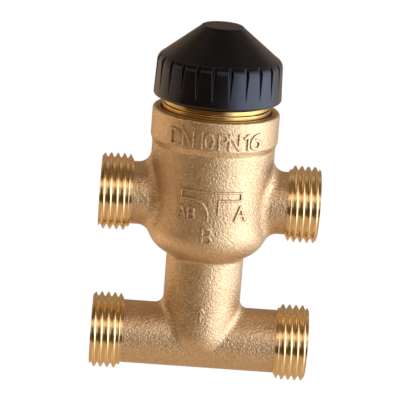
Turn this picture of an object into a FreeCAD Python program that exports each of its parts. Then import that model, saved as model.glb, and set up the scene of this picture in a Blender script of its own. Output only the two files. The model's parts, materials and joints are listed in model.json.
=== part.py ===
import FreeCAD, Part
import math
import os
from FreeCAD import Vector

# Three way valve, a mixing valve with a bypass tee. Millimetres, +Z up along the stem,
# +X towards port A, -Y is the side with the cast marks. Z = 0 is the lowest thread crest.
# Heights written as "level" are counted from the axis of the two upper ports.

# ---- overall sizes ----
AXIS_SPACING = 40.0          # upper port axis to bypass axis
STROKE = 2.5                 # travel of the stem

# ---- pipe thread G 1/2 B on all four ports ----
PORT_R = 20.955 / 2
PORT_PITCH = 1.814
PORT_DEPTH = 1.162
PORT_CREST = 0.30
PORT_ROOT = 0.28
PORT_THREAD_LEN = 8.8
PORT_LEAD_IN = 1.1
PORT_END_CHAMFER = 0.85
PORT_BORE_R = 6.75

# ---- casting, outside ----
NECK_R = 8.6
RUN_R = 8.75
BRANCH_R = 10.65
BOWL_R = 16.8
COLLAR_STEP = 0.55           # the collar is this much larger in radius than the bowl
NECK_FREE = 4.4              # from the bowl to the start of the port threads
COLLAR_START = 17.2
RIM_LEVEL = 25.2
RIM_ROUND = 0.8
BOWL_TURN_LEVEL = -7.2
BOWL_TURN_R = 8.5
BOWL_FILLET = 1.7
NECK_FILLET = 3.6
BRANCH_FILLET = 2.6
BRANCH_END_R = 8.95
BRANCH_END_RISE = 3.5        # height of the rounded end above the bypass axis
MARK_HEIGHT = 0.34
MARK_WIDTH = 0.6

# ---- casting, inside ----
CHAMBER_R = 9.6
CHAMBER_FLOOR = -11.0
WEB_UNDER = 1.4
WEB_TOP = 4.2
WEB_BORE_R = 8.6
GALLERY_R = 13.2
GALLERY_TOP = 13.2
PASSAGE_R = 4.9
PASSAGE_DEPTH = 9.5          # length of the straight bore behind each upper port face
PASSAGE_DROP_DEG = 21.0
PASSAGE_RISE_DEG = 33.0
BRANCH_BORE_R = 6.5

# ---- seats and plug ----
SEAT_BORE_R = 5.6
SEAT_LIP_IN = 5.8
SEAT_LIP_OUT = 6.6
UPPER_SEAT = 0.4
LOWER_SEAT = -9.5
LOWER_RING_R = 8.0
LOWER_RING_FOOT = -13.6
SEAL_T = 1.6
PLUG_R = 7.6
PLUG_WAIST_R = 5.0
WASHER_R = 4.6
WASHER_T = 1.0
NUT_AF = 5.5
NUT_T = 2.4

# ---- cage ----
CAGE_FLANGE_R = 10.6
CAGE_WALL_IN = 8.0
CAGE_WALL_OUT = 9.4
CAGE_TOP_R = 12.6
WINDOW_COUNT = 4
WINDOW_W = 8.0
WINDOW_H = 5.4

# ---- bonnet ----
NOSE_R = 13.0
BODY_THREAD_R = 13.85
BODY_THREAD_FROM = 16.6
FLANGE_R = 14.85
FLANGE_UNDER = 22.8
FLANGE_TOP = 26.45
RIM_GAP = 0.25
RING_R = 14.6
RING_TOP = 27.9
NECK_THREAD_FROM = 28.6
NECK_TOP = 36.2
BUSH_R = 7.2
BUSH_TOP = 17.0
SPRING_ROOM_R = 6.9
SPRING_ROOM_TOP = 29.0
GLAND_R = 5.0
GLAND_FOOT = 30.5
GLAND_HEAD_T = 2.0
GLAND_AF = 12.0
GLAND_RECESS_R = 7.4

# ---- cap thread M30 x 1.5 ----
CAP_PITCH = 1.5
CAP_THREAD_R = 14.95
CAP_THREAD_DEPTH = 0.90
CAP_THREAD_CREST = 0.20
CAP_THREAD_PLAY = 0.12       # axial play on each flank
CAP_THREAD_TOP_PLAY = 0.15   # radial play at crest and root

# ---- stem ----
STEM_R = 2.0
STEM_TIP = 39.5
STEM_TAIL_R = 1.5
STEM_TAIL_END = -11.2
STEM_SHOULDER = 1.4
GUIDE_PLAY = 0.06
SEAL_PLAY = 0.05
STEM_SEAL_WIRE = 0.60
CLIP_LEVEL = 27.0
CLIP_T = 0.6
CLIP_GROOVE_R = 1.6
CLIP_R = 3.4
CLIP_GAP_DEG = 70.0
PLATE_R = 6.2
PLATE_T = 0.8
SPRING_WASHER_T = 0.5
SPRING_MEAN_R = 5.2
SPRING_WIRE_R = 0.45
SPRING_TURNS = 5.0
WIPER_R = 3.6
WIPER_FOOT = 34.8

# ---- static ring seals ----
RING_SEAL_WIRE = 0.45
GLAND_SEAL_WIRE = 0.40

# ---- hand cap ----
CAP_BOTTOM = 28.4
CAP_TOP = 48.3
CAP_TOP_R = 5.4
CAP_CONE_R = 15.7
CAP_CONE_LEVEL = 39.9
CAP_SHOULDER_R = 17.05
CAP_SHOULDER_LEVEL = 37.8
CAP_SKIRT_R = 17.42
CAP_ROOF = 42.0
CAP_ROOF_R = 8.5
CAP_BOSS_R = 3.2
CAP_MOUTH_R = 15.3
CAP_MOUTH_TOP = 31.4
GRIP_COUNT = 24
GRIP_FIRST_DEG = -5.5
GRIP_TOP = 40.6
GRIP_END = 30.2
GRIP_TOP_FLOOR_R = 15.75
GRIP_TOP_HALF_W = 0.95

COLLAR_R = BOWL_R + COLLAR_STEP
NECK_THREAD_END = NECK_TOP - 0.2 - CAP_PITCH / 2                     # axis of the last turn
CAP_THREAD_END = NECK_THREAD_END + CAP_THREAD_CREST / 2 + STROKE + 0.3
HALF_RUN = BOWL_R + NECK_FREE + PORT_THREAD_LEN
PASSAGE_START = HALF_RUN - PASSAGE_DEPTH
RUN_Z = PORT_R + AXIS_SPACING
BYPASS = -AXIS_SPACING
PLUG_TOP = UPPER_SEAT
PLUG_FOOT = LOWER_SEAT + STROKE
MARK_SINK = 0.6


def on_circle(centre_r, centre_z, radius, degrees):
    turn = math.radians(degrees)
    return (centre_r + radius * math.cos(turn), centre_z + radius * math.sin(turn))


def turned(outline):
    # Two numbers are a corner. Four numbers are an arc through a point to its end.
    edges = []
    here = Vector(outline[0][0], 0, outline[0][1])
    for item in outline[1:] + [outline[0]]:
        there = Vector(item[-2], 0, item[-1])
        if (there - here).Length > 1e-7:
            if len(item) == 4:
                edges.append(Part.Arc(here, Vector(item[0], 0, item[1]), there).toShape())
            else:
                edges.append(Part.makeLine(here, there))
        here = there
    face = Part.Face(Part.Wire(edges))
    return face.revolve(Vector(0, 0, 0), Vector(0, 0, 1), 360)


def disc(radius, low, high):
    return Part.makeCylinder(radius, high - low, Vector(0, 0, low))


def along_x(radius, x_from, x_to, level):
    return Part.makeCylinder(radius, x_to - x_from, Vector(x_from, 0, level), Vector(1, 0, 0))


def ring(inner, outer, low, high):
    return turned([(inner, low), (outer, low), (outer, high), (inner, high)])


def o_ring(middle_r, level, wire_r):
    return Part.makeTorus(middle_r, wire_r, Vector(0, 0, level), Vector(0, 0, 1))


def hexagon(across_flats, low, high):
    reach = across_flats / 2 / math.cos(math.radians(30))
    corners = []
    for step in range(7):
        turn = math.radians(60 * step)
        corners.append(Vector(reach * math.cos(turn), reach * math.sin(turn), low))
    face = Part.Face(Part.makePolygon(corners))
    prism = face.extrude(Vector(0, 0, high - low))
    bevel = (reach - across_flats / 2) * 0.6
    round_off = turned([(0, low), (reach - bevel, low), (reach, low + bevel),
                        (reach, high - bevel), (reach - bevel, high), (0, high)])
    return prism.common(round_off)


def helical_band(pitch, start, turns, floor_r, floor_half, mouth_r, mouth_half):
    # A trapezium swept along a right-hand helix about Z, starting on the +X side.
    helix = Part.makeHelix(pitch, pitch * turns, floor_r)
    section = Part.makePolygon([
        Vector(floor_r, 0, -floor_half),
        Vector(mouth_r, 0, -mouth_half),
        Vector(mouth_r, 0, mouth_half),
        Vector(floor_r, 0, floor_half),
        Vector(floor_r, 0, -floor_half),
    ])
    band = Part.Wire(helix).makePipeShell([section], True, True)
    band.translate(Vector(0, 0, start))
    return band


def outside_groove(pitch, start, turns, crest_r, depth, crest, root, over):
    crest_half = (pitch - crest) / 2
    slope = (crest_half - root / 2) / depth
    return helical_band(pitch, start, turns, crest_r - depth, root / 2,
                          crest_r + over, crest_half + slope * over)


def port_end():
    # Stands on Z = 0 with its end face at the top.
    length = PORT_THREAD_LEN
    blank = turned([
        (0, 0),
        (NECK_R, 0),
        (PORT_R, PORT_LEAD_IN),
        (PORT_R, length - PORT_END_CHAMFER),
        (PORT_R - PORT_END_CHAMFER * 1.15, length),
        (0, length),
    ])
    groove = outside_groove(PORT_PITCH, -PORT_PITCH, length / PORT_PITCH + 2,
                            PORT_R, PORT_DEPTH, PORT_CREST, PORT_ROOT, 0.15)
    return blank.cut(groove)


def stroke(points, width):
    # A band of the given width along a broken line in X and level, standing out of the front.
    front = -COLLAR_R - 2
    depth = COLLAR_R - 6
    pieces = []
    for here, there in zip(points[:-1], points[1:]):
        run_x = there[0] - here[0]
        run_z = there[1] - here[1]
        length = math.hypot(run_x, run_z)
        if length < 0.01:
            continue
        bar = Part.makeBox(length, depth, width, Vector(0, front, -width / 2))
        bar.rotate(Vector(0, 0, 0), Vector(0, -1, 0), math.degrees(math.atan2(run_z, run_x)))
        bar.translate(Vector(here[0], 0, here[1]))
        pieces.append(bar)
    for point in points:
        pieces.append(Part.makeCylinder(width / 2, depth, Vector(point[0], front, point[1]),
                                        Vector(0, 1, 0)))
    return pieces


def bow(centre_x, centre_z, radius_x, radius_z, start_deg, end_deg, steps):
    points = []
    for step in range(steps + 1):
        turn = math.radians(start_deg + (end_deg - start_deg) * step / steps)
        points.append((centre_x + radius_x * math.cos(turn), centre_z + radius_z * math.sin(turn)))
    return points


# Letter strokes in a cell one unit high, with the letter's width.
GLYPHS = {
    "A": (0.72, [[(0, 0), (0.36, 1), (0.72, 0)], [(0.14, 0.36), (0.58, 0.36)]]),
    "B": (0.58, [[(0, 0), (0, 1), (0.28, 1)] + bow(0.28, 0.76, 0.25, 0.24, 90, -90, 4)
                 + bow(0.28, 0.26, 0.30, 0.26, 90, -90, 4) + [(0, 0)], [(0, 0.52), (0.28, 0.52)]]),
    "D": (0.62, [[(0, 0), (0, 1), (0.2, 1)] + bow(0.2, 0.5, 0.42, 0.5, 90, -90, 6) + [(0, 0)]]),
    "N": (0.66, [[(0, 0), (0, 1), (0.66, 0), (0.66, 1)]]),
    "P": (0.56, [[(0, 0), (0, 1), (0.28, 1)] + bow(0.28, 0.74, 0.28, 0.26, 90, -90, 4)
                 + [(0, 0.48)]]),
    "0": (0.58, [bow(0.29, 0.5, 0.29, 0.5, 90, 450, 10)]),
    "1": (0.30, [[(0, 0.74), (0.24, 1), (0.24, 0)]]),
    "6": (0.58, [[(0.50, 0.98)] + bow(0.50, 0.30, 0.50, 0.68, 105, 180, 3)
                 + bow(0.29, 0.30, 0.29, 0.30, 180, 540, 8)]),
}


def lettering(text, start_x, base_level, height, gap, space, width):
    pieces = []
    left = start_x
    for letter in text:
        if letter == " ":
            left += space
            continue
        cell, strokes = GLYPHS[letter]
        for line in strokes:
            points = [(left + x * height, base_level + z * height) for x, z in line]
            pieces += stroke(points, width)
        left += cell * height + gap
    return pieces


def raised(pieces, skin):
    # Keeps the part of the bands that lies in the skin, a thin shell around the casting.
    marks = pieces[0].multiFuse(pieces[1:])
    return [mark.common(skin) for mark in marks.Solids]


# ---- cast body ----
def body_outline(grow):
    # Outline of the bowl, collar and branch; grow offsets it outwards for the cast marks.
    bowl_r = BOWL_R + grow
    turn_r = BOWL_TURN_R + grow
    branch_r = BRANCH_R + grow
    fillet = BOWL_FILLET - grow
    centre_r = bowl_r - turn_r
    fillet_r = branch_r + fillet
    fillet_z = BOWL_TURN_LEVEL - math.sqrt((turn_r + fillet) ** 2 - (fillet_r - centre_r) ** 2)
    touch = math.degrees(math.atan2(fillet_z - BOWL_TURN_LEVEL, fillet_r - centre_r))
    return {
        "touch": on_circle(centre_r, BOWL_TURN_LEVEL, turn_r, touch),
        "bulge": on_circle(centre_r, BOWL_TURN_LEVEL, turn_r, touch / 2),
        "hollow": on_circle(fillet_r, fillet_z, fillet, touch / 2 + 180),
        "fillet_z": fillet_z,
        "bowl_r": bowl_r,
        "branch_r": branch_r,
    }


def bowl_solid(grow):
    p = body_outline(grow)
    collar = COLLAR_R + grow
    rim = RIM_ROUND
    return turned([
        (0, -14),
        (0, RIM_LEVEL),
        (collar - rim, RIM_LEVEL),
        (*on_circle(collar - rim, RIM_LEVEL - rim, rim, 45), collar, RIM_LEVEL - rim),
        (collar, COLLAR_START),
        (p["bowl_r"] + 0.3, COLLAR_START - 0.7),
        (p["bowl_r"], COLLAR_START - 1.6),
        (p["bowl_r"], BOWL_TURN_LEVEL),
        (*p["bulge"], *p["touch"]),
        (*p["hollow"], p["branch_r"], p["fillet_z"]),
        (p["branch_r"], p["fillet_z"] - 2.0),
        (0, p["fillet_z"] - 2.0),
    ])


def branch_solid(radius, low):
    centre = radius - BRANCH_END_R
    return turned([
        (0, -18.5),
        (radius, -18.5),
        (radius, low),
        (*on_circle(centre, low, BRANCH_END_R, -45), centre, low - BRANCH_END_R),
        (0, low - BRANCH_END_R),
    ])


def cast_body():
    end_x = HALF_RUN - PORT_THREAD_LEN
    bowl = bowl_solid(0)
    neck = along_x(NECK_R, -end_x, end_x, 0)
    upper = bowl.fuse(neck).removeSplitter()
    roots = []
    for edge in upper.Edges:
        box = edge.BoundBox
        reach = max(abs(box.XMin), abs(box.XMax))
        if box.XMin * box.XMax > 0 and reach < BOWL_R + 0.1 and box.ZLength > NECK_R * 0.9:
            if abs(box.ZMin) < NECK_R + 0.1 and abs(box.ZMax) < NECK_R + 0.1:
                roots.append(edge)
    upper = upper.makeFillet(NECK_FILLET, roots)
    branch = branch_solid(BRANCH_R, BYPASS + BRANCH_END_RISE)
    run = along_x(RUN_R, -end_x, end_x, BYPASS)
    lower = branch.fuse(run).removeSplitter()
    roots = []
    for edge in lower.Edges:
        box = edge.BoundBox
        if box.XMin * box.XMax > 0 and box.XLength > 2 and box.YLength > 2:
            if box.ZMin > BYPASS + BRANCH_END_RISE - 0.2 and box.ZMax < BYPASS + RUN_R + 0.5:
                roots.append(edge)
    lower = lower.makeFillet(BRANCH_FILLET, roots)
    outside = upper.fuse(lower)
    end = port_end()
    for level in (0, BYPASS):
        for side in (1, -1):
            piece = end.copy()
            piece.rotate(Vector(0, 0, 0), Vector(0, 1, 0), 90 * side)
            piece.translate(Vector(side * end_x, 0, level))
            outside = outside.fuse(piece)
    return outside


def passage(start_x, tilt_deg, length):
    turn = math.radians(tilt_deg)
    side = 1 if start_x > 0 else -1
    direction = Vector(-side * math.cos(turn), 0, math.sin(turn))
    tube = Part.makeCylinder(PASSAGE_R, length, Vector(start_x, 0, 0), direction)
    knee = Part.makeSphere(PASSAGE_R, Vector(start_x, 0, 0))
    return tube.fuse(knee)


def body_cavities():
    cuts = []
    cuts.append(turned([
        (0, WEB_TOP),
        (GALLERY_R, WEB_TOP),
        (GALLERY_R, GALLERY_TOP - 0.2),
        (NOSE_R, GALLERY_TOP),
        (NOSE_R, BODY_THREAD_FROM - 0.6),
        (BODY_THREAD_R, BODY_THREAD_FROM),
        (BODY_THREAD_R, FLANGE_UNDER),
        (FLANGE_R + RIM_GAP, FLANGE_UNDER),
        (FLANGE_R + RIM_GAP, RIM_LEVEL - 0.3),
        (FLANGE_R + RIM_GAP + 0.3, RIM_LEVEL),
        (FLANGE_R + RIM_GAP + 0.3, RIM_LEVEL + 5),
        (0, RIM_LEVEL + 5),
    ]))
    cuts.append(disc(WEB_BORE_R, WEB_UNDER - 1, WEB_TOP + 1))
    cuts.append(disc(CHAMBER_R, CHAMBER_FLOOR, WEB_UNDER))
    cuts.append(disc(LOWER_RING_R, LOWER_RING_FOOT, CHAMBER_FLOOR + 1))
    cuts.append(disc(BRANCH_BORE_R, BYPASS, LOWER_RING_FOOT + 1))
    cuts.append(along_x(PORT_BORE_R, -HALF_RUN - 1, HALF_RUN + 1, BYPASS))
    cuts.append(along_x(PORT_BORE_R, -HALF_RUN - 1, -PASSAGE_START, 0))
    cuts.append(along_x(PORT_BORE_R, PASSAGE_START, HALF_RUN + 1, 0))
    cuts.append(passage(-PASSAGE_START, -PASSAGE_DROP_DEG, PASSAGE_START - 6.0))
    cuts.append(passage(PASSAGE_START, PASSAGE_RISE_DEG, PASSAGE_START - 10.5))
    return cuts


def flow_marks():
    # Generic rating on the collar, flow sketch and port letters on the bowl.
    thin = 0.45
    collar_marks = lettering("DN 10 PN 16", -12.0, 17.9, 4.1, 0.55, 0.95, MARK_WIDTH)
    bowl_marks = stroke([(2.2, 3.7), (8.3, 3.7), (8.3, 5.9), (-8.1, 5.9), (-8.1, 3.7), (-5.2, 3.7)], thin)
    bowl_marks += stroke(bow(-5.2, -0.9, 4.6, 4.6, 90, 0, 7) + [(-0.6, -1.8)], thin)
    bowl_marks += stroke([(2.2, 3.7), (2.2, -0.4)], thin)
    bowl_marks += lettering("AB", -9.0, -2.0, 3.2, 0.6, 1.0, 0.55)
    bowl_marks += lettering("A", 6.9, -1.9, 3.9, 0.6, 1.0, 0.55)
    bowl_marks += lettering("B", -1.7, -8.6, 4.3, 0.6, 1.0, 0.6)
    arrow = stroke([(-0.3, -32.2), (-0.3, -28.8)], 0.55)
    arrow += stroke([(-1.2, -29.9), (-0.3, -28.8), (0.6, -29.9)], 0.55)
    bowl_skin = bowl_solid(MARK_HEIGHT)
    bowl_skin = bowl_skin.cut(disc(BOWL_R - 6, -30, RIM_LEVEL + 5))
    branch_skin = ring(BRANCH_R - MARK_SINK, BRANCH_R + MARK_HEIGHT, -36, -22)
    marks = []
    marks += raised(collar_marks, ring(COLLAR_R - MARK_SINK, COLLAR_R + MARK_HEIGHT, 16, 24))
    marks += raised(bowl_marks, bowl_skin.cut(bowl_solid(-MARK_SINK)))
    marks += raised(arrow, branch_skin)
    return marks


def make_valve_body():
    body = cast_body()
    for mark in flow_marks():
        body = body.fuse(mark)
    for cut in body_cavities():
        body = body.cut(cut)
    return body.Solids[0]


# ---- fixed pieces ----
def make_lower_seat_ring():
    return turned([
        (SEAT_BORE_R, LOWER_RING_FOOT),
        (LOWER_RING_R, LOWER_RING_FOOT),
        (LOWER_RING_R, CHAMBER_FLOOR),
        (SEAT_LIP_OUT + 0.4, CHAMBER_FLOOR),
        (SEAT_LIP_OUT, LOWER_SEAT),
        (SEAT_LIP_IN, LOWER_SEAT),
        (SEAT_BORE_R, LOWER_SEAT - 0.3),
    ])


def make_seat_cage():
    groove_floor = WEB_BORE_R - 2 * RING_SEAL_WIRE
    middle = (WEB_UNDER + WEB_TOP) / 2
    cage = turned([
        (SEAT_BORE_R, UPPER_SEAT + 0.3),
        (SEAT_LIP_IN, UPPER_SEAT),
        (SEAT_LIP_OUT, UPPER_SEAT),
        (SEAT_LIP_OUT + 0.4, WEB_UNDER),
        (WEB_BORE_R, WEB_UNDER),
        (WEB_BORE_R, middle - RING_SEAL_WIRE - 0.15),
        (groove_floor, middle - RING_SEAL_WIRE - 0.15),
        (groove_floor, middle + RING_SEAL_WIRE + 0.15),
        (WEB_BORE_R, middle + RING_SEAL_WIRE + 0.15),
        (WEB_BORE_R, WEB_TOP),
        (CAGE_FLANGE_R, WEB_TOP),
        (CAGE_FLANGE_R, WEB_TOP + 1.0),
        (CAGE_WALL_OUT, WEB_TOP + 1.0),
        (CAGE_WALL_OUT, GALLERY_TOP - 1.2),
        (CAGE_TOP_R, GALLERY_TOP - 1.2),
        (CAGE_TOP_R, GALLERY_TOP),
        (CAGE_WALL_IN, GALLERY_TOP),
        (CAGE_WALL_IN, WEB_TOP + 1.4),
        (SEAT_BORE_R, WEB_TOP - 0.6),
    ])
    low = WEB_TOP + 1.7
    for step in range(WINDOW_COUNT):
        window = Part.makeBox(6.0, WINDOW_W, WINDOW_H, Vector(CAGE_WALL_IN - 2.5, -WINDOW_W / 2, low))
        window.rotate(Vector(0, 0, 0), Vector(0, 0, 1), 360.0 / WINDOW_COUNT * step)
        cage = cage.cut(window)
    return cage


def make_bonnet():
    groove_floor = NOSE_R - 2 * RING_SEAL_WIRE
    middle = 14.8
    core_r = CAP_THREAD_R - CAP_THREAD_DEPTH
    bonnet = turned([
        (BUSH_R, GALLERY_TOP),
        (NOSE_R, GALLERY_TOP),
        (NOSE_R, middle - RING_SEAL_WIRE - 0.2),
        (groove_floor, middle - RING_SEAL_WIRE - 0.2),
        (groove_floor, middle + RING_SEAL_WIRE + 0.2),
        (NOSE_R, middle + RING_SEAL_WIRE + 0.2),
        (NOSE_R, BODY_THREAD_FROM - 0.6),
        (BODY_THREAD_R, BODY_THREAD_FROM),
        (BODY_THREAD_R, FLANGE_UNDER),
        (FLANGE_R, FLANGE_UNDER),
        (FLANGE_R, FLANGE_TOP - 0.35),
        (FLANGE_R - 0.12, FLANGE_TOP - 0.1, FLANGE_R - 0.4, FLANGE_TOP),
        (RING_R - 0.55, FLANGE_TOP),
        (RING_R - 0.55, FLANGE_TOP + 0.3),
        (RING_R, FLANGE_TOP + 0.3),
        (RING_R, RING_TOP - 0.3),
        (RING_R - 0.3, RING_TOP),
        (core_r, RING_TOP),
        (core_r, NECK_TOP - 0.4),
        (core_r - 0.4, NECK_TOP),
        (GLAND_RECESS_R, NECK_TOP),
        (GLAND_RECESS_R, NECK_TOP - GLAND_HEAD_T),
        (GLAND_R, NECK_TOP - GLAND_HEAD_T),
        (GLAND_R, GLAND_FOOT),
        (STEM_R + 0.4, GLAND_FOOT),
        (STEM_R + 0.4, SPRING_ROOM_TOP),
        (SPRING_ROOM_R, SPRING_ROOM_TOP),
        (SPRING_ROOM_R, BUSH_TOP),
        (BUSH_R, BUSH_TOP),
    ])
    slope = math.tan(math.radians(30))
    half = CAP_THREAD_CREST / 2
    low = NECK_THREAD_FROM + CAP_PITCH / 2
    turns = (NECK_THREAD_END - low) / CAP_PITCH
    ridge = helical_band(CAP_PITCH, low, turns, core_r - 0.05,
                         half + (CAP_THREAD_DEPTH + 0.05) * slope, CAP_THREAD_R, half)
    return bonnet.fuse(ridge)


def sealed_hole(outline_low, outline_high, pocket_low, pocket_high):
    hole = STEM_R + GUIDE_PLAY
    pocket = STEM_R + SEAL_PLAY + 2 * STEM_SEAL_WIRE
    return turned([
        (0, outline_low - 1),
        (hole, outline_low - 1),
        (hole, pocket_low),
        (pocket, pocket_low),
        (pocket, pocket_high),
        (hole, pocket_high),
        (hole, outline_high + 1),
        (0, outline_high + 1),
    ])


def make_stem_guide_bush():
    bush = turned([
        (0, GALLERY_TOP),
        (BUSH_R - 0.3, GALLERY_TOP),
        (BUSH_R, GALLERY_TOP + 0.3),
        (BUSH_R, BUSH_TOP),
        (0, BUSH_TOP),
    ])
    return bush.cut(sealed_hole(GALLERY_TOP, BUSH_TOP, 14.4, 15.8))


def make_gland_nut():
    head_foot = NECK_TOP - GLAND_HEAD_T
    groove_floor = GLAND_R - 2 * GLAND_SEAL_WIRE
    shank = turned([
        (0, GLAND_FOOT),
        (GLAND_R - 0.3, GLAND_FOOT),
        (GLAND_R, GLAND_FOOT + 0.3),
        (GLAND_R, 31.2),
        (groove_floor, 31.2),
        (groove_floor, 32.3),
        (GLAND_R, 32.3),
        (GLAND_R, head_foot),
        (0, head_foot),
    ])
    nut = shank.fuse(hexagon(GLAND_AF, head_foot, NECK_TOP)).removeSplitter()
    nut = nut.cut(sealed_hole(GLAND_FOOT, NECK_TOP, 31.9, 33.3))
    return nut.cut(disc(WIPER_R, WIPER_FOOT, NECK_TOP + 1))


def make_stem_wiper():
    hole = STEM_R + SEAL_PLAY
    return turned([
        (hole, WIPER_FOOT),
        (WIPER_R, WIPER_FOOT),
        (WIPER_R, NECK_TOP),
        (WIPER_R - 0.5, NECK_TOP),
        (hole + 0.5, NECK_TOP - 0.5),
        (hole, NECK_TOP - 0.3),
    ])


def stem_seal(level):
    return o_ring(STEM_R + SEAL_PLAY + STEM_SEAL_WIRE, level, STEM_SEAL_WIRE)


# ---- moving pieces ----
def make_valve_stem():
    return turned([
        (0, STEM_TAIL_END),
        (STEM_TAIL_R - 0.3, STEM_TAIL_END),
        (STEM_TAIL_R, STEM_TAIL_END + 0.3),
        (STEM_TAIL_R, STEM_SHOULDER),
        (STEM_R, STEM_SHOULDER),
        (STEM_R, CLIP_LEVEL),
        (CLIP_GROOVE_R, CLIP_LEVEL),
        (CLIP_GROOVE_R, CLIP_LEVEL + CLIP_T),
        (STEM_R, CLIP_LEVEL + CLIP_T),
        (STEM_R, STEM_TIP - 0.5),
        (STEM_R - 0.15, STEM_TIP - 0.15, STEM_R - 0.5, STEM_TIP),
        (0, STEM_TIP),
    ])


def make_plug_body():
    top = PLUG_TOP - SEAL_T
    foot = PLUG_FOOT + SEAL_T
    return turned([
        (STEM_TAIL_R, foot),
        (PLUG_R - 0.3, foot),
        (PLUG_R, foot + 0.3),
        (PLUG_R, foot + 0.9),
        (PLUG_WAIST_R, foot + 1.4),
        (PLUG_WAIST_R, top - 1.4),
        (PLUG_R, top - 0.9),
        (PLUG_R, top - 0.3),
        (PLUG_R - 0.3, top),
        (STEM_TAIL_R, top),
    ])


def plug_seal(low):
    round_off = 0.3
    return turned([
        (STEM_TAIL_R, low),
        (PLUG_R - round_off, low),
        (PLUG_R, low + round_off),
        (PLUG_R, low + SEAL_T - round_off),
        (PLUG_R - round_off, low + SEAL_T),
        (STEM_TAIL_R, low + SEAL_T),
    ])


def make_plug_nut():
    top = PLUG_FOOT - WASHER_T
    nut = hexagon(NUT_AF, top - NUT_T, top)
    return nut.cut(disc(STEM_TAIL_R, top - NUT_T - 1, top + 1))


def make_stem_clip():
    clip = ring(CLIP_GROOVE_R, CLIP_R, CLIP_LEVEL, CLIP_LEVEL + CLIP_T)
    half = math.radians(CLIP_GAP_DEG / 2)
    reach = CLIP_R * 2
    mouth = Part.makePolygon([
        Vector(0, 0, CLIP_LEVEL - 1),
        Vector(reach * math.cos(half), -reach * math.sin(half), CLIP_LEVEL - 1),
        Vector(reach * math.cos(half), reach * math.sin(half), CLIP_LEVEL - 1),
        Vector(0, 0, CLIP_LEVEL - 1),
    ])
    return clip.cut(Part.Face(mouth).extrude(Vector(0, 0, CLIP_T + 2)))


def make_return_spring():
    low = BUSH_TOP + SPRING_WASHER_T + SPRING_WIRE_R
    high = CLIP_LEVEL - PLATE_T - SPRING_WIRE_R
    pitch = (high - low) / SPRING_TURNS
    helix = Part.makeHelix(pitch, high - low, SPRING_MEAN_R)
    middle = Vector(SPRING_MEAN_R, 0, 0)
    along = Vector(0, 2 * math.pi * SPRING_MEAN_R, pitch)
    halves = [Part.makeCircle(SPRING_WIRE_R, middle, along, 0, 180),
              Part.makeCircle(SPRING_WIRE_R, middle, along, 180, 360)]
    coil = Part.Wire(helix).makePipeShell([Part.Wire(halves)], True, True)
    coil.translate(Vector(0, 0, low))
    return coil


def make_hand_cap():
    inner_thread_r = CAP_THREAD_R - CAP_THREAD_DEPTH + CAP_THREAD_TOP_PLAY
    groove_r = CAP_THREAD_R + CAP_THREAD_TOP_PLAY
    cap = turned([
        (0, CAP_TOP),
        (CAP_TOP_R - 0.5, CAP_TOP),
        (CAP_TOP_R + 0.05, CAP_TOP - 0.12, CAP_TOP_R + 0.5, CAP_TOP - 0.5),
        (CAP_CONE_R, CAP_CONE_LEVEL),
        (CAP_SHOULDER_R - 0.32, CAP_CONE_LEVEL - 1.0, CAP_SHOULDER_R, CAP_SHOULDER_LEVEL),
        (CAP_SKIRT_R, CAP_BOTTOM + 0.7),
        (CAP_SKIRT_R - 0.2, CAP_BOTTOM + 0.2, CAP_SKIRT_R - 0.7, CAP_BOTTOM),
        (CAP_MOUTH_R + 0.4, CAP_BOTTOM),
        (CAP_MOUTH_R, CAP_BOTTOM + 0.4),
        (CAP_MOUTH_R, CAP_MOUTH_TOP),
        (groove_r, CAP_MOUTH_TOP + 0.2),
        (groove_r, CAP_THREAD_END),
        (inner_thread_r, CAP_THREAD_END + 1.0),
        (CAP_ROOF_R, CAP_ROOF),
        (CAP_BOSS_R + 0.4, CAP_ROOF),
        (CAP_BOSS_R, CAP_ROOF - 0.4),
        (CAP_BOSS_R, STEM_TIP + 0.3),
        (CAP_BOSS_R - 0.3, STEM_TIP),
        (0, STEM_TIP),
    ])
    # The cap's ridge lies midway between two turns of the neck's ridge.
    slope = math.tan(math.radians(30))
    tip_half = (CAP_PITCH - CAP_THREAD_CREST) / 2 - CAP_THREAD_PLAY
    tip_half -= (CAP_THREAD_R - inner_thread_r) * slope
    base_r = groove_r + 0.05
    base_half = tip_half + (base_r - inner_thread_r) * slope
    neck_phase = NECK_THREAD_FROM + CAP_PITCH / 2
    start = neck_phase + CAP_PITCH / 2
    while start - base_half < CAP_MOUTH_TOP + 0.3:
        start += CAP_PITCH
    turns = (CAP_THREAD_END - base_half - 0.1 - start) / CAP_PITCH
    ridge = helical_band(CAP_PITCH, start, turns, base_r, base_half, inner_thread_r, tip_half)
    cap = cap.fuse(ridge)
    for step in range(GRIP_COUNT):
        cap = cap.cut(grip_cut(GRIP_FIRST_DEG + 360.0 / GRIP_COUNT * step))
    return cap.Solids[0]


def grip_cut(angle_deg):
    # A V notch, deep and wide at the shoulder, running out near the bottom edge.
    outside = CAP_SKIRT_R + 1.0
    wires = []
    for level, floor_r, half in ((GRIP_TOP, GRIP_TOP_FLOOR_R, GRIP_TOP_HALF_W),
                                 (GRIP_END, CAP_SKIRT_R - 0.02, 0.22)):
        wires.append(Part.makePolygon([
            Vector(-half * 1.6, -outside, level),
            Vector(-half * 0.35, -floor_r, level),
            Vector(half * 0.35, -floor_r, level),
            Vector(half * 1.6, -outside, level),
            Vector(-half * 1.6, -outside, level),
        ]))
    notch = Part.makeLoft(wires, True, True)
    notch.rotate(Vector(0, 0, 0), Vector(0, 0, 1), angle_deg)
    return notch


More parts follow.
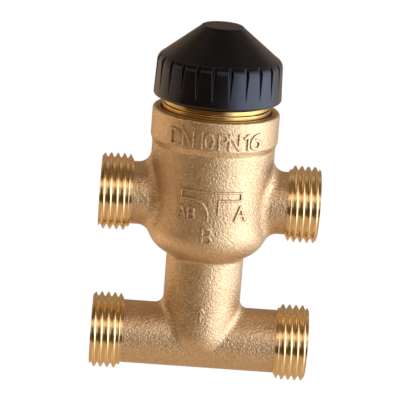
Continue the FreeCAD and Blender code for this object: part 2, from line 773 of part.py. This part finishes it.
parts = {
    "valve_body": make_valve_body(),
    "lower_seat_ring": make_lower_seat_ring(),
    "seat_cage": make_seat_cage(),
    "cage_o_ring": o_ring(WEB_BORE_R - RING_SEAL_WIRE, (WEB_UNDER + WEB_TOP) / 2, RING_SEAL_WIRE),
    "bonnet": make_bonnet(),
    "bonnet_o_ring": o_ring(NOSE_R - RING_SEAL_WIRE, 14.8, RING_SEAL_WIRE),
    "stem_guide_bush": make_stem_guide_bush(),
    "lower_stem_seal": stem_seal(15.1),
    "spring_washer": ring(STEM_R + 0.5, SPRING_ROOM_R - 0.1, BUSH_TOP, BUSH_TOP + SPRING_WASHER_T),
    "gland_nut": make_gland_nut(),
    "gland_o_ring": o_ring(GLAND_R - GLAND_SEAL_WIRE, 31.75, GLAND_SEAL_WIRE),
    "upper_stem_seal": stem_seal(32.6),
    "stem_wiper": make_stem_wiper(),
    "return_spring": make_return_spring(),
    "valve_stem": make_valve_stem(),
    "plug_body": make_plug_body(),
    "upper_plug_seal": plug_seal(PLUG_TOP - SEAL_T),
    "lower_plug_seal": plug_seal(PLUG_FOOT),
    "upper_plug_washer": ring(STEM_TAIL_R, WASHER_R, PLUG_TOP, PLUG_TOP + WASHER_T),
    "lower_plug_washer": ring(STEM_TAIL_R, WASHER_R, PLUG_FOOT - WASHER_T, PLUG_FOOT),
    "plug_nut": make_plug_nut(),
    "spring_plate": ring(STEM_R, PLATE_R, CLIP_LEVEL - PLATE_T, CLIP_LEVEL),
    "stem_clip": make_stem_clip(),
    "hand_cap": make_hand_cap(),
}

os.makedirs("parts", exist_ok=True)
for node, shape in parts.items():
    shape.translate(Vector(0, 0, RUN_Z))
    shape.exportStep("parts/" + node + ".step")
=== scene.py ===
import json
import math

import bpy
from mathutils import Matrix, Vector


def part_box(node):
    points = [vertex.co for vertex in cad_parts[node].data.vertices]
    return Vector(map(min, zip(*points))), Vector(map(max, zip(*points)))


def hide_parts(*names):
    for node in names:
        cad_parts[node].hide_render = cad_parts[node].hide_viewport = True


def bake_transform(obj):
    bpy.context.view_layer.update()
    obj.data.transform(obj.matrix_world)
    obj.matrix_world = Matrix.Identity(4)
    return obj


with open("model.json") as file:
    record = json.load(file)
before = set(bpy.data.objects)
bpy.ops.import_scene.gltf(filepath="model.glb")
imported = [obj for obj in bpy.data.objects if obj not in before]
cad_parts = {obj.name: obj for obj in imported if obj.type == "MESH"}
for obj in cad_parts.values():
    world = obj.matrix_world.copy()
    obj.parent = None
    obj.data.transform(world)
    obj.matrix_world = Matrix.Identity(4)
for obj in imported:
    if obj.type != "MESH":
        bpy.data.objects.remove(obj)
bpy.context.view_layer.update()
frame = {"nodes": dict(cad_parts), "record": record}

MM = 0.001
scene = bpy.context.scene

# ---- sizes of the valve ----
THREAD_CREST_R = 10.4775 * MM                # G 1/2 thread of the ports
THREAD_ROOT_R = 9.3155 * MM
THREAD_LENGTH = 8.9 * MM
AXIS_SPACING = 40.0 * MM                     # upper port axis to lower port axis
SKIRT_SHEEN_END = 8.5 * MM                   # above the cap's lower edge: glossier skirt ends
CONE_SHEEN_START = 11.0 * MM                 # and the duller cone starts

# ---- levels read from the CAD pieces ----
body_low, body_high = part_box("valve_body")
cap_low, cap_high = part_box("hand_cap")
BYPASS_Z = body_low.z + THREAD_CREST_R       # axis of the lower pair of ports
RUN_Z = BYPASS_Z + AXIS_SPACING              # axis of the upper pair of ports
THREAD_START = body_high.x - THREAD_LENGTH   # from the end face of the ports

# ---- surface settings ----
FLANK_LEAN = 0.50                            # how far the thread flanks shade as rounded near the crest
ROOT_LEAN = 0.92                             # and near the root
HOLLOW_SHADE_SHARE = 0.60                           # most that the painted shade in a hollow darkens
HOLLOW_SHADE_REACH = 3.0 * MM
CAST_EDGE_R = 0.35 * MM                      # softened edges of the casting
CAP_EDGE_R = 0.30 * MM


# ---- small helpers for node trees ----
class Tree:
    """Builds a node tree. add() returns the node, the other calls return the socket to use next."""

    def __init__(self, tree):
        self.tree = tree
        self.nodes = tree.nodes
        self.links = tree.links
        self.nodes.clear()

    def add(self, kind, inputs=None, **props):
        node = self.nodes.new(kind)
        for key, value in props.items():
            setattr(node, key, value)
        for key, value in (inputs or {}).items():
            self.feed(node.inputs[key], value)
        return node

    def feed(self, socket, value):
        if isinstance(value, bpy.types.NodeSocket):
            self.links.new(value, socket)
        else:
            socket.default_value = value

    def math(self, operation, a, b=0.0, c=0.0, clamp=False):
        return self.add("ShaderNodeMath", {0: a, 1: b, 2: c}, operation=operation, use_clamp=clamp).outputs[0]

    def noise(self, where, scale, detail=2.0, rough=0.5, distortion=0.0):
        node = self.add("ShaderNodeTexNoise", {"Vector": where, "Scale": scale, "Detail": detail,
                                               "Roughness": rough, "Distortion": distortion})
        return node.outputs["Fac"]

    def spread(self, value, low, high, to_low=0.0, to_high=1.0):
        return self.add("ShaderNodeMapRange", {"Value": value, "From Min": low, "From Max": high,
                                               "To Min": to_low, "To Max": to_high}).outputs["Result"]

    def soft_step(self, value, low, high, to_low=0.0, to_high=1.0):
        node = self.add("ShaderNodeMapRange", {"Value": value, "From Min": low, "From Max": high,
                                               "To Min": to_low, "To Max": to_high},
                        interpolation_type="SMOOTHSTEP")
        return node.outputs["Result"]

    def mixer(self, kind, sockets, out, factor, a, b):
        inputs = dict(zip(sockets, (factor, a, b)))
        return self.add("ShaderNodeMix", inputs, data_type=kind).outputs[out]

    def mix(self, factor, a, b):
        return self.mixer("RGBA", (0, 6, 7), 2, factor, a, b)

    def mix_value(self, factor, a, b):
        return self.mixer("FLOAT", (0, 2, 3), 0, factor, a, b)

    def mix_vector(self, factor, a, b):
        return self.mixer("VECTOR", (0, 4, 5), 1, factor, a, b)

    def mapped(self, where, scale, offset=(0, 0, 0)):
        return self.add("ShaderNodeMapping", {"Vector": where, "Scale": scale, "Location": offset}).outputs[0]

    def bump(self, height, strength, distance, normal=None):
        inputs = {"Height": height, "Strength": strength, "Distance": distance}
        if normal is not None:
            inputs["Normal"] = normal
        return self.add("ShaderNodeBump", inputs).outputs[0]


def srgb(r, g, b):
    out = []
    for value in (r, g, b):
        value /= 255.0
        out.append(value / 12.92 if value <= 0.04045 else ((value + 0.055) / 1.055) ** 2.4)
    return (*out, 1.0)


def material(name):
    mat = bpy.data.materials.new(name)
    mat.use_nodes = True
    tree = Tree(mat.node_tree)
    shader = tree.add("ShaderNodeBsdfPrincipled")
    tree.add("ShaderNodeOutputMaterial", {"Surface": shader.outputs[0]})
    where = tree.add("ShaderNodeTexCoord").outputs["Object"]
    return mat, tree, shader, where


def set_in(tree, shader, **values):
    for key, value in values.items():
        tree.feed(shader.inputs[key.replace("_", " ")], value)


def rolled_normal(t, xyz):
    """Leans the normals of the thread flanks outward, as on a worn thread with rounded crests."""
    upper = t.math("GREATER_THAN", xyz.outputs["Z"], (RUN_Z + BYPASS_Z) / 2)
    axis_z = t.mix_value(upper, BYPASS_Z, RUN_Z)
    rise = t.math("SUBTRACT", xyz.outputs["Z"], axis_z)
    away = t.add("ShaderNodeCombineXYZ", {"Y": xyz.outputs["Y"], "Z": rise})
    outward = t.add("ShaderNodeVectorMath", {0: away.outputs[0]}, operation="NORMALIZE").outputs[0]
    true = t.add("ShaderNodeNewGeometry").outputs["Normal"]
    facing = t.add("ShaderNodeVectorMath", {0: true, 1: outward}, operation="DOT_PRODUCT").outputs["Value"]
    radius = t.add("ShaderNodeVectorMath", {0: away.outputs[0]}, operation="LENGTH").outputs["Value"]
    lean = t.soft_step(radius, THREAD_ROOT_R, THREAD_CREST_R, ROOT_LEAN, FLANK_LEAN)
    share = t.math("MULTIPLY", t.soft_step(facing, 0.15, 0.35), lean)
    leaning = t.mix_vector(share, true, outward)
    return t.add("ShaderNodeVectorMath", {0: leaning}, operation="NORMALIZE").outputs[0]


def cast_bronze():
    mat, t, shader, where = material("cast_bronze")
    xyz = t.add("ShaderNodeSeparateXYZ", {"Vector": where})
    x = t.math("ABSOLUTE", xyz.outputs["X"])
    turned = t.soft_step(x, THREAD_START - 0.10 * MM, THREAD_START + 0.15 * MM)
    # cast skin: shot-blasted facets over slow unevenness
    facets = t.noise(where, 1500.0, 2.0, 0.55)
    fine = t.noise(where, 2900.0, 1.0, 0.5)
    waves = t.noise(where, 130.0, 2.0, 0.5)
    soft = t.add("ShaderNodeBevel", {"Radius": CAST_EDGE_R}, samples=6).outputs[0]
    uneven = t.bump(waves, 0.40, 0.60 * MM, soft)
    facetted = t.bump(facets, 0.66, 0.28 * MM, uneven)
    skin = t.bump(fine, 0.66, 0.16 * MM, facetted)
    cast_colour = t.mix(t.spread(facets, 0.33, 0.68), (0.58, 0.42, 0.24, 1.0), (0.76, 0.575, 0.355, 1.0))
    cast_colour = t.mix(t.spread(waves, 0.38, 0.66, 0.0, 0.30), cast_colour, (0.60, 0.41, 0.225, 1.0))
    # painted shade: the colour darkens towards dark brown where ambient occlusion finds a hollow or crease
    hollow = t.add("ShaderNodeAmbientOcclusion", {"Distance": HOLLOW_SHADE_REACH}, samples=6).outputs["AO"]
    painted_hollow_shade = t.soft_step(hollow, 0.92, 0.45, 0.0, HOLLOW_SHADE_SHARE)
    cast_colour = t.mix(painted_hollow_shade, cast_colour, (0.30, 0.165, 0.07, 1.0))
    # turned thread: fine rings across the axis
    rings = t.noise(t.mapped(where, (9000.0, 60.0, 60.0)), 1.0, 2.0, 0.5)
    thread_colour = t.mix(t.spread(rings, 0.3, 0.7), (0.75, 0.54, 0.26, 1.0), (0.84, 0.635, 0.35, 1.0))
    thread_skin = t.bump(rings, 0.12, 0.02 * MM, rolled_normal(t, xyz))
    rough = t.mix_value(turned, t.spread(waves, 0.3, 0.7, 0.36, 0.46), t.spread(rings, 0.3, 0.7, 0.15, 0.22))
    set_in(t, shader, Base_Color=t.mix(turned, cast_colour, thread_colour), Roughness=rough,
           Metallic=1.0, Normal=t.mix_vector(turned, skin, thread_skin))
    return mat


def turned_brass():
    mat, t, shader, where = material("turned_brass")
    rings = t.noise(t.mapped(where, (60.0, 60.0, 9000.0)), 1.0, 2.0, 0.5)
    stain = t.noise(where, 260.0, 3.0, 0.6)
    colour = t.mix(t.spread(rings, 0.3, 0.7), (0.57, 0.38, 0.125, 1.0), (0.68, 0.48, 0.185, 1.0))
    colour = t.mix(t.spread(stain, 0.5, 0.75, 0.0, 0.5), colour, (0.42, 0.26, 0.08, 1.0))
    set_in(t, shader, Base_Color=colour, Metallic=1.0, Roughness=t.spread(stain, 0.3, 0.7, 0.16, 0.26),
           Normal=t.bump(rings, 0.15, 0.02 * MM))
    return mat


def steel(name, colour, rough):
    mat, t, shader, where = material(name)
    rings = t.noise(t.mapped(where, (80.0, 80.0, 7000.0)), 1.0, 2.0, 0.5)
    stain = t.noise(where, 400.0, 3.0, 0.6)
    dark = (*[c * 0.7 for c in colour[:3]], 1.0)
    set_in(t, shader, Base_Color=t.mix(t.spread(rings, 0.3, 0.7), dark, colour), Metallic=1.0,
           Roughness=t.spread(stain, 0.3, 0.7, rough - 0.06, rough + 0.08),
           Normal=t.bump(rings, 0.12, 0.02 * MM))
    return mat


def plastic(name, dark, light, rough, grain_size=2600.0):
    mat, t, shader, where = material(name)
    grain = t.noise(where, grain_size, 2.0, 0.5)
    cloud = t.noise(where, 180.0, 3.0, 0.6)
    set_in(t, shader, Base_Color=t.mix(t.spread(cloud, 0.35, 0.68), dark, light), Metallic=0.0,
           Roughness=t.spread(cloud, 0.3, 0.7, rough - 0.05, rough + 0.07),
           Normal=t.bump(grain, 0.18, 0.03 * MM))
    return mat


def cap_plastic():
    mat, t, shader, where = material("cap_plastic")
    xyz = t.add("ShaderNodeSeparateXYZ", {"Vector": where})
    z = xyz.outputs["Z"]
    grain = t.noise(where, 2400.0, 2.0, 0.5)
    cloud = t.noise(where, 120.0, 3.0, 0.6)
    # the top 0.35 mm of the cap is painted lighter and made matte, mottled by noise
    lighter_top = t.soft_step(z, cap_high.z - 0.35 * MM, cap_high.z - 0.10 * MM)
    top_mottle = t.noise(where, 1500.0, 3.0, 0.65)
    colour = t.mix(t.spread(cloud, 0.35, 0.7), srgb(9, 9, 10), srgb(14, 14, 16))
    colour = t.mix(t.math("MULTIPLY", lighter_top, t.spread(top_mottle, 0.3, 0.7, 0.55, 1.0)), colour, srgb(76, 64, 60))
    soft = t.add("ShaderNodeBevel", {"Radius": CAP_EDGE_R}, samples=6).outputs[0]
    fine = t.bump(grain, 0.16, 0.03 * MM, soft)
    rough = t.spread(cloud, 0.3, 0.7, 0.20, 0.28)
    set_in(t, shader, Base_Color=colour, Metallic=0.0, Roughness=t.mix_value(lighter_top, rough, 0.62),
           Normal=fine)
    sheen = t.soft_step(z, cap_low.z + SKIRT_SHEEN_END, cap_low.z + CONE_SHEEN_START, 0.62, 0.32)
    set_in(t, shader, Specular_IOR_Level=sheen, Specular_Tint=(0.74, 0.78, 0.94, 1.0))
    return mat


finishes = {
    "cast_bronze": cast_bronze(),
    "turned_brass": turned_brass(),
    "stainless": steel("stainless", srgb(205, 205, 206), 0.26),
    "spring_steel": steel("spring_steel", srgb(150, 150, 155), 0.32),
    "seal_rubber": plastic("seal_rubber", srgb(18, 18, 18), srgb(32, 32, 32), 0.55),
    "wiper_plastic": plastic("wiper_plastic", srgb(214, 212, 204), srgb(236, 234, 226), 0.45),
    "cap_plastic": cap_plastic(),
}
for part in frame["record"]["subparts"]:
    node = frame["nodes"][part["node"]]
    node.data.materials.clear()
    node.data.materials.append(finishes[part["material_slot"]])

# ---- the return spring sits between its washer, which stays, and its plate, which rides the stem; here it is a fixed copy and the CAD part is hidden ----
spring = frame["nodes"]["return_spring"]
coil = bpy.data.objects.new("return_spring_coil", spring.data.copy())
scene.collection.objects.link(coil)
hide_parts("return_spring")
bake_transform(coil)


# ---- studio ----
def softbox(name, place, aim, size, power, colour):
    light = bpy.data.lights.new(name, "AREA")
    light.shape = "RECTANGLE"
    light.size = size
    light.size_y = size
    light.energy = power
    light.color = colour
    lamp = bpy.data.objects.new(name, light)
    scene.collection.objects.link(lamp)
    lamp.location = place
    lamp.rotation_euler = (Vector(aim) - Vector(place)).to_track_quat("-Z", "Y").to_euler()


middle = Vector((0, 0, (body_low.z + cap_high.z) / 2))
WARM = (1.0, 0.76, 0.57)
NEUTRAL = (1.0, 0.97, 0.95)
COOL = (0.86, 0.94, 1.10)
softbox("key", (0.48, -0.21, 0.06), middle, 0.60, 0.75, COOL)

# The room as the part mirrors it. Height, side and depth are the parts of the mirrored direction.
world = bpy.data.worlds.new("studio")
scene.world = world
world.use_nodes = True
w = Tree(world.node_tree)
direction = w.add("ShaderNodeTexCoord").outputs["Generated"]
parts = w.add("ShaderNodeSeparateXYZ", {"Vector": direction})
side = parts.outputs["X"]
depth = parts.outputs["Y"]
height = parts.outputs["Z"]


def times(first, *others):
    for other in others:
        first = w.math("MULTIPLY", first, other)
    return first


def band(value, low, high, edge):
    return times(w.soft_step(value, low - edge, low + edge), w.soft_step(value, high + edge, high - edge))


def glow(strength, colour):
    return w.add("ShaderNodeBackground", {"Color": (*colour, 1.0), "Strength": strength}).outputs[0]


front = w.soft_step(depth, 0.25, -0.05)
leftward = w.math("MAXIMUM", w.math("MULTIPLY", side, -1.0), 0.0)
sunk = w.math("ADD", height, w.math("MULTIPLY", leftward, 0.33))
flat = w.math("SQRT", w.math("ADD", times(side, side), w.math("ADD", times(depth, depth), 0.0001)))
toward_key = w.math("DIVIDE", w.math("SUBTRACT", times(side, 0.95), times(depth, 0.31)), flat)
level = w.soft_step(w.math("ABSOLUTE", height), 0.85, 0.10)
low = w.soft_step(height, 0.60, 0.35)
glows = [
    # window on the right
    glow(times(w.soft_step(toward_key, 0.50, 0.92), level, 1.85), COOL),
    # pale right wall
    glow(times(w.soft_step(side, 0.25, 0.70), low, 0.40), COOL),
    # floor
    glow(times(w.soft_step(height, -0.40, -0.44), 0.55), WARM),
    # lit strip in front, lower towards the left
    glow(times(band(sunk, 0.50, 0.77, 0.04), front, 0.95), WARM),
    # fill in front, not on the left
    glow(times(band(height, 0.06, 0.60, 0.08), front, w.soft_step(side, -0.40, 0.0), 0.62), NEUTRAL),
    # ceiling behind
    glow(times(w.soft_step(height, 0.70, 0.95), w.soft_step(depth, -0.05, 0.25), 0.26), NEUTRAL),
    # wall behind
    glow(times(w.soft_step(depth, 0.05, 0.6), w.soft_step(height, -0.44, -0.40), 0.30), WARM),
    # wall on the left
    glow(times(w.soft_step(side, -0.30, -0.75), w.soft_step(depth, -0.42, -0.05), low, 0.64), WARM),
    # ceiling in front
    glow(times(w.soft_step(height, 0.74, 0.84), front, 0.12), WARM),
    # gloom everywhere
    glow(1.0, (0.10, 0.055, 0.022)),
]
room = glows[0]
for other in glows[1:]:
    room = w.add("ShaderNodeAddShader", {0: room, 1: other}).outputs[0]
white = glow(1.0, (1, 1, 1))
path = w.add("ShaderNodeLightPath")
both = w.add("ShaderNodeMixShader", {0: path.outputs["Is Camera Ray"], 1: room, 2: white})
w.add("ShaderNodeOutputWorld", {"Surface": both.outputs[0]})

# ---- camera: nearly front on, a little from above, rolled so the valve leans to the right ----
AZIMUTH, ELEVATION, ROLL, DISTANCE = -1.4, 15.8, 4.5, 0.690    # degrees and metres
TARGET_DROP = 10.0 * MM                      # the aim lies this far under the upper port axis
FOCAL_LENGTH = 225.4                         # mm, on a sensor 36 mm wide
SHIFT_X, SHIFT_Y = -0.0168, 0.0815
az, el, roll = (math.radians(v) for v in (AZIMUTH, ELEVATION, ROLL))
target = Vector((0, 0, RUN_Z - TARGET_DROP))
back = Vector((math.sin(az) * math.cos(el), -math.cos(az) * math.cos(el), math.sin(el)))
sideways = Vector((math.cos(az), math.sin(az), 0))
upward = back.cross(sideways)
right = sideways * math.cos(roll) + upward * math.sin(roll)
up = upward * math.cos(roll) - sideways * math.sin(roll)
lens = bpy.data.cameras.new("camera")
lens.sensor_width = 36.0
lens.lens = FOCAL_LENGTH
lens.shift_x = SHIFT_X
lens.shift_y = SHIFT_Y
lens.clip_start = 0.01
camera = bpy.data.objects.new("camera", lens)
scene.collection.objects.link(camera)
spot = target + back * DISTANCE
camera.matrix_world = Matrix((
    (right.x, up.x, back.x, spot.x),
    (right.y, up.y, back.y, spot.y),
    (right.z, up.z, back.z, spot.z),
    (0, 0, 0, 1),
))
scene.camera = camera
scene.view_settings.view_transform = "Standard"
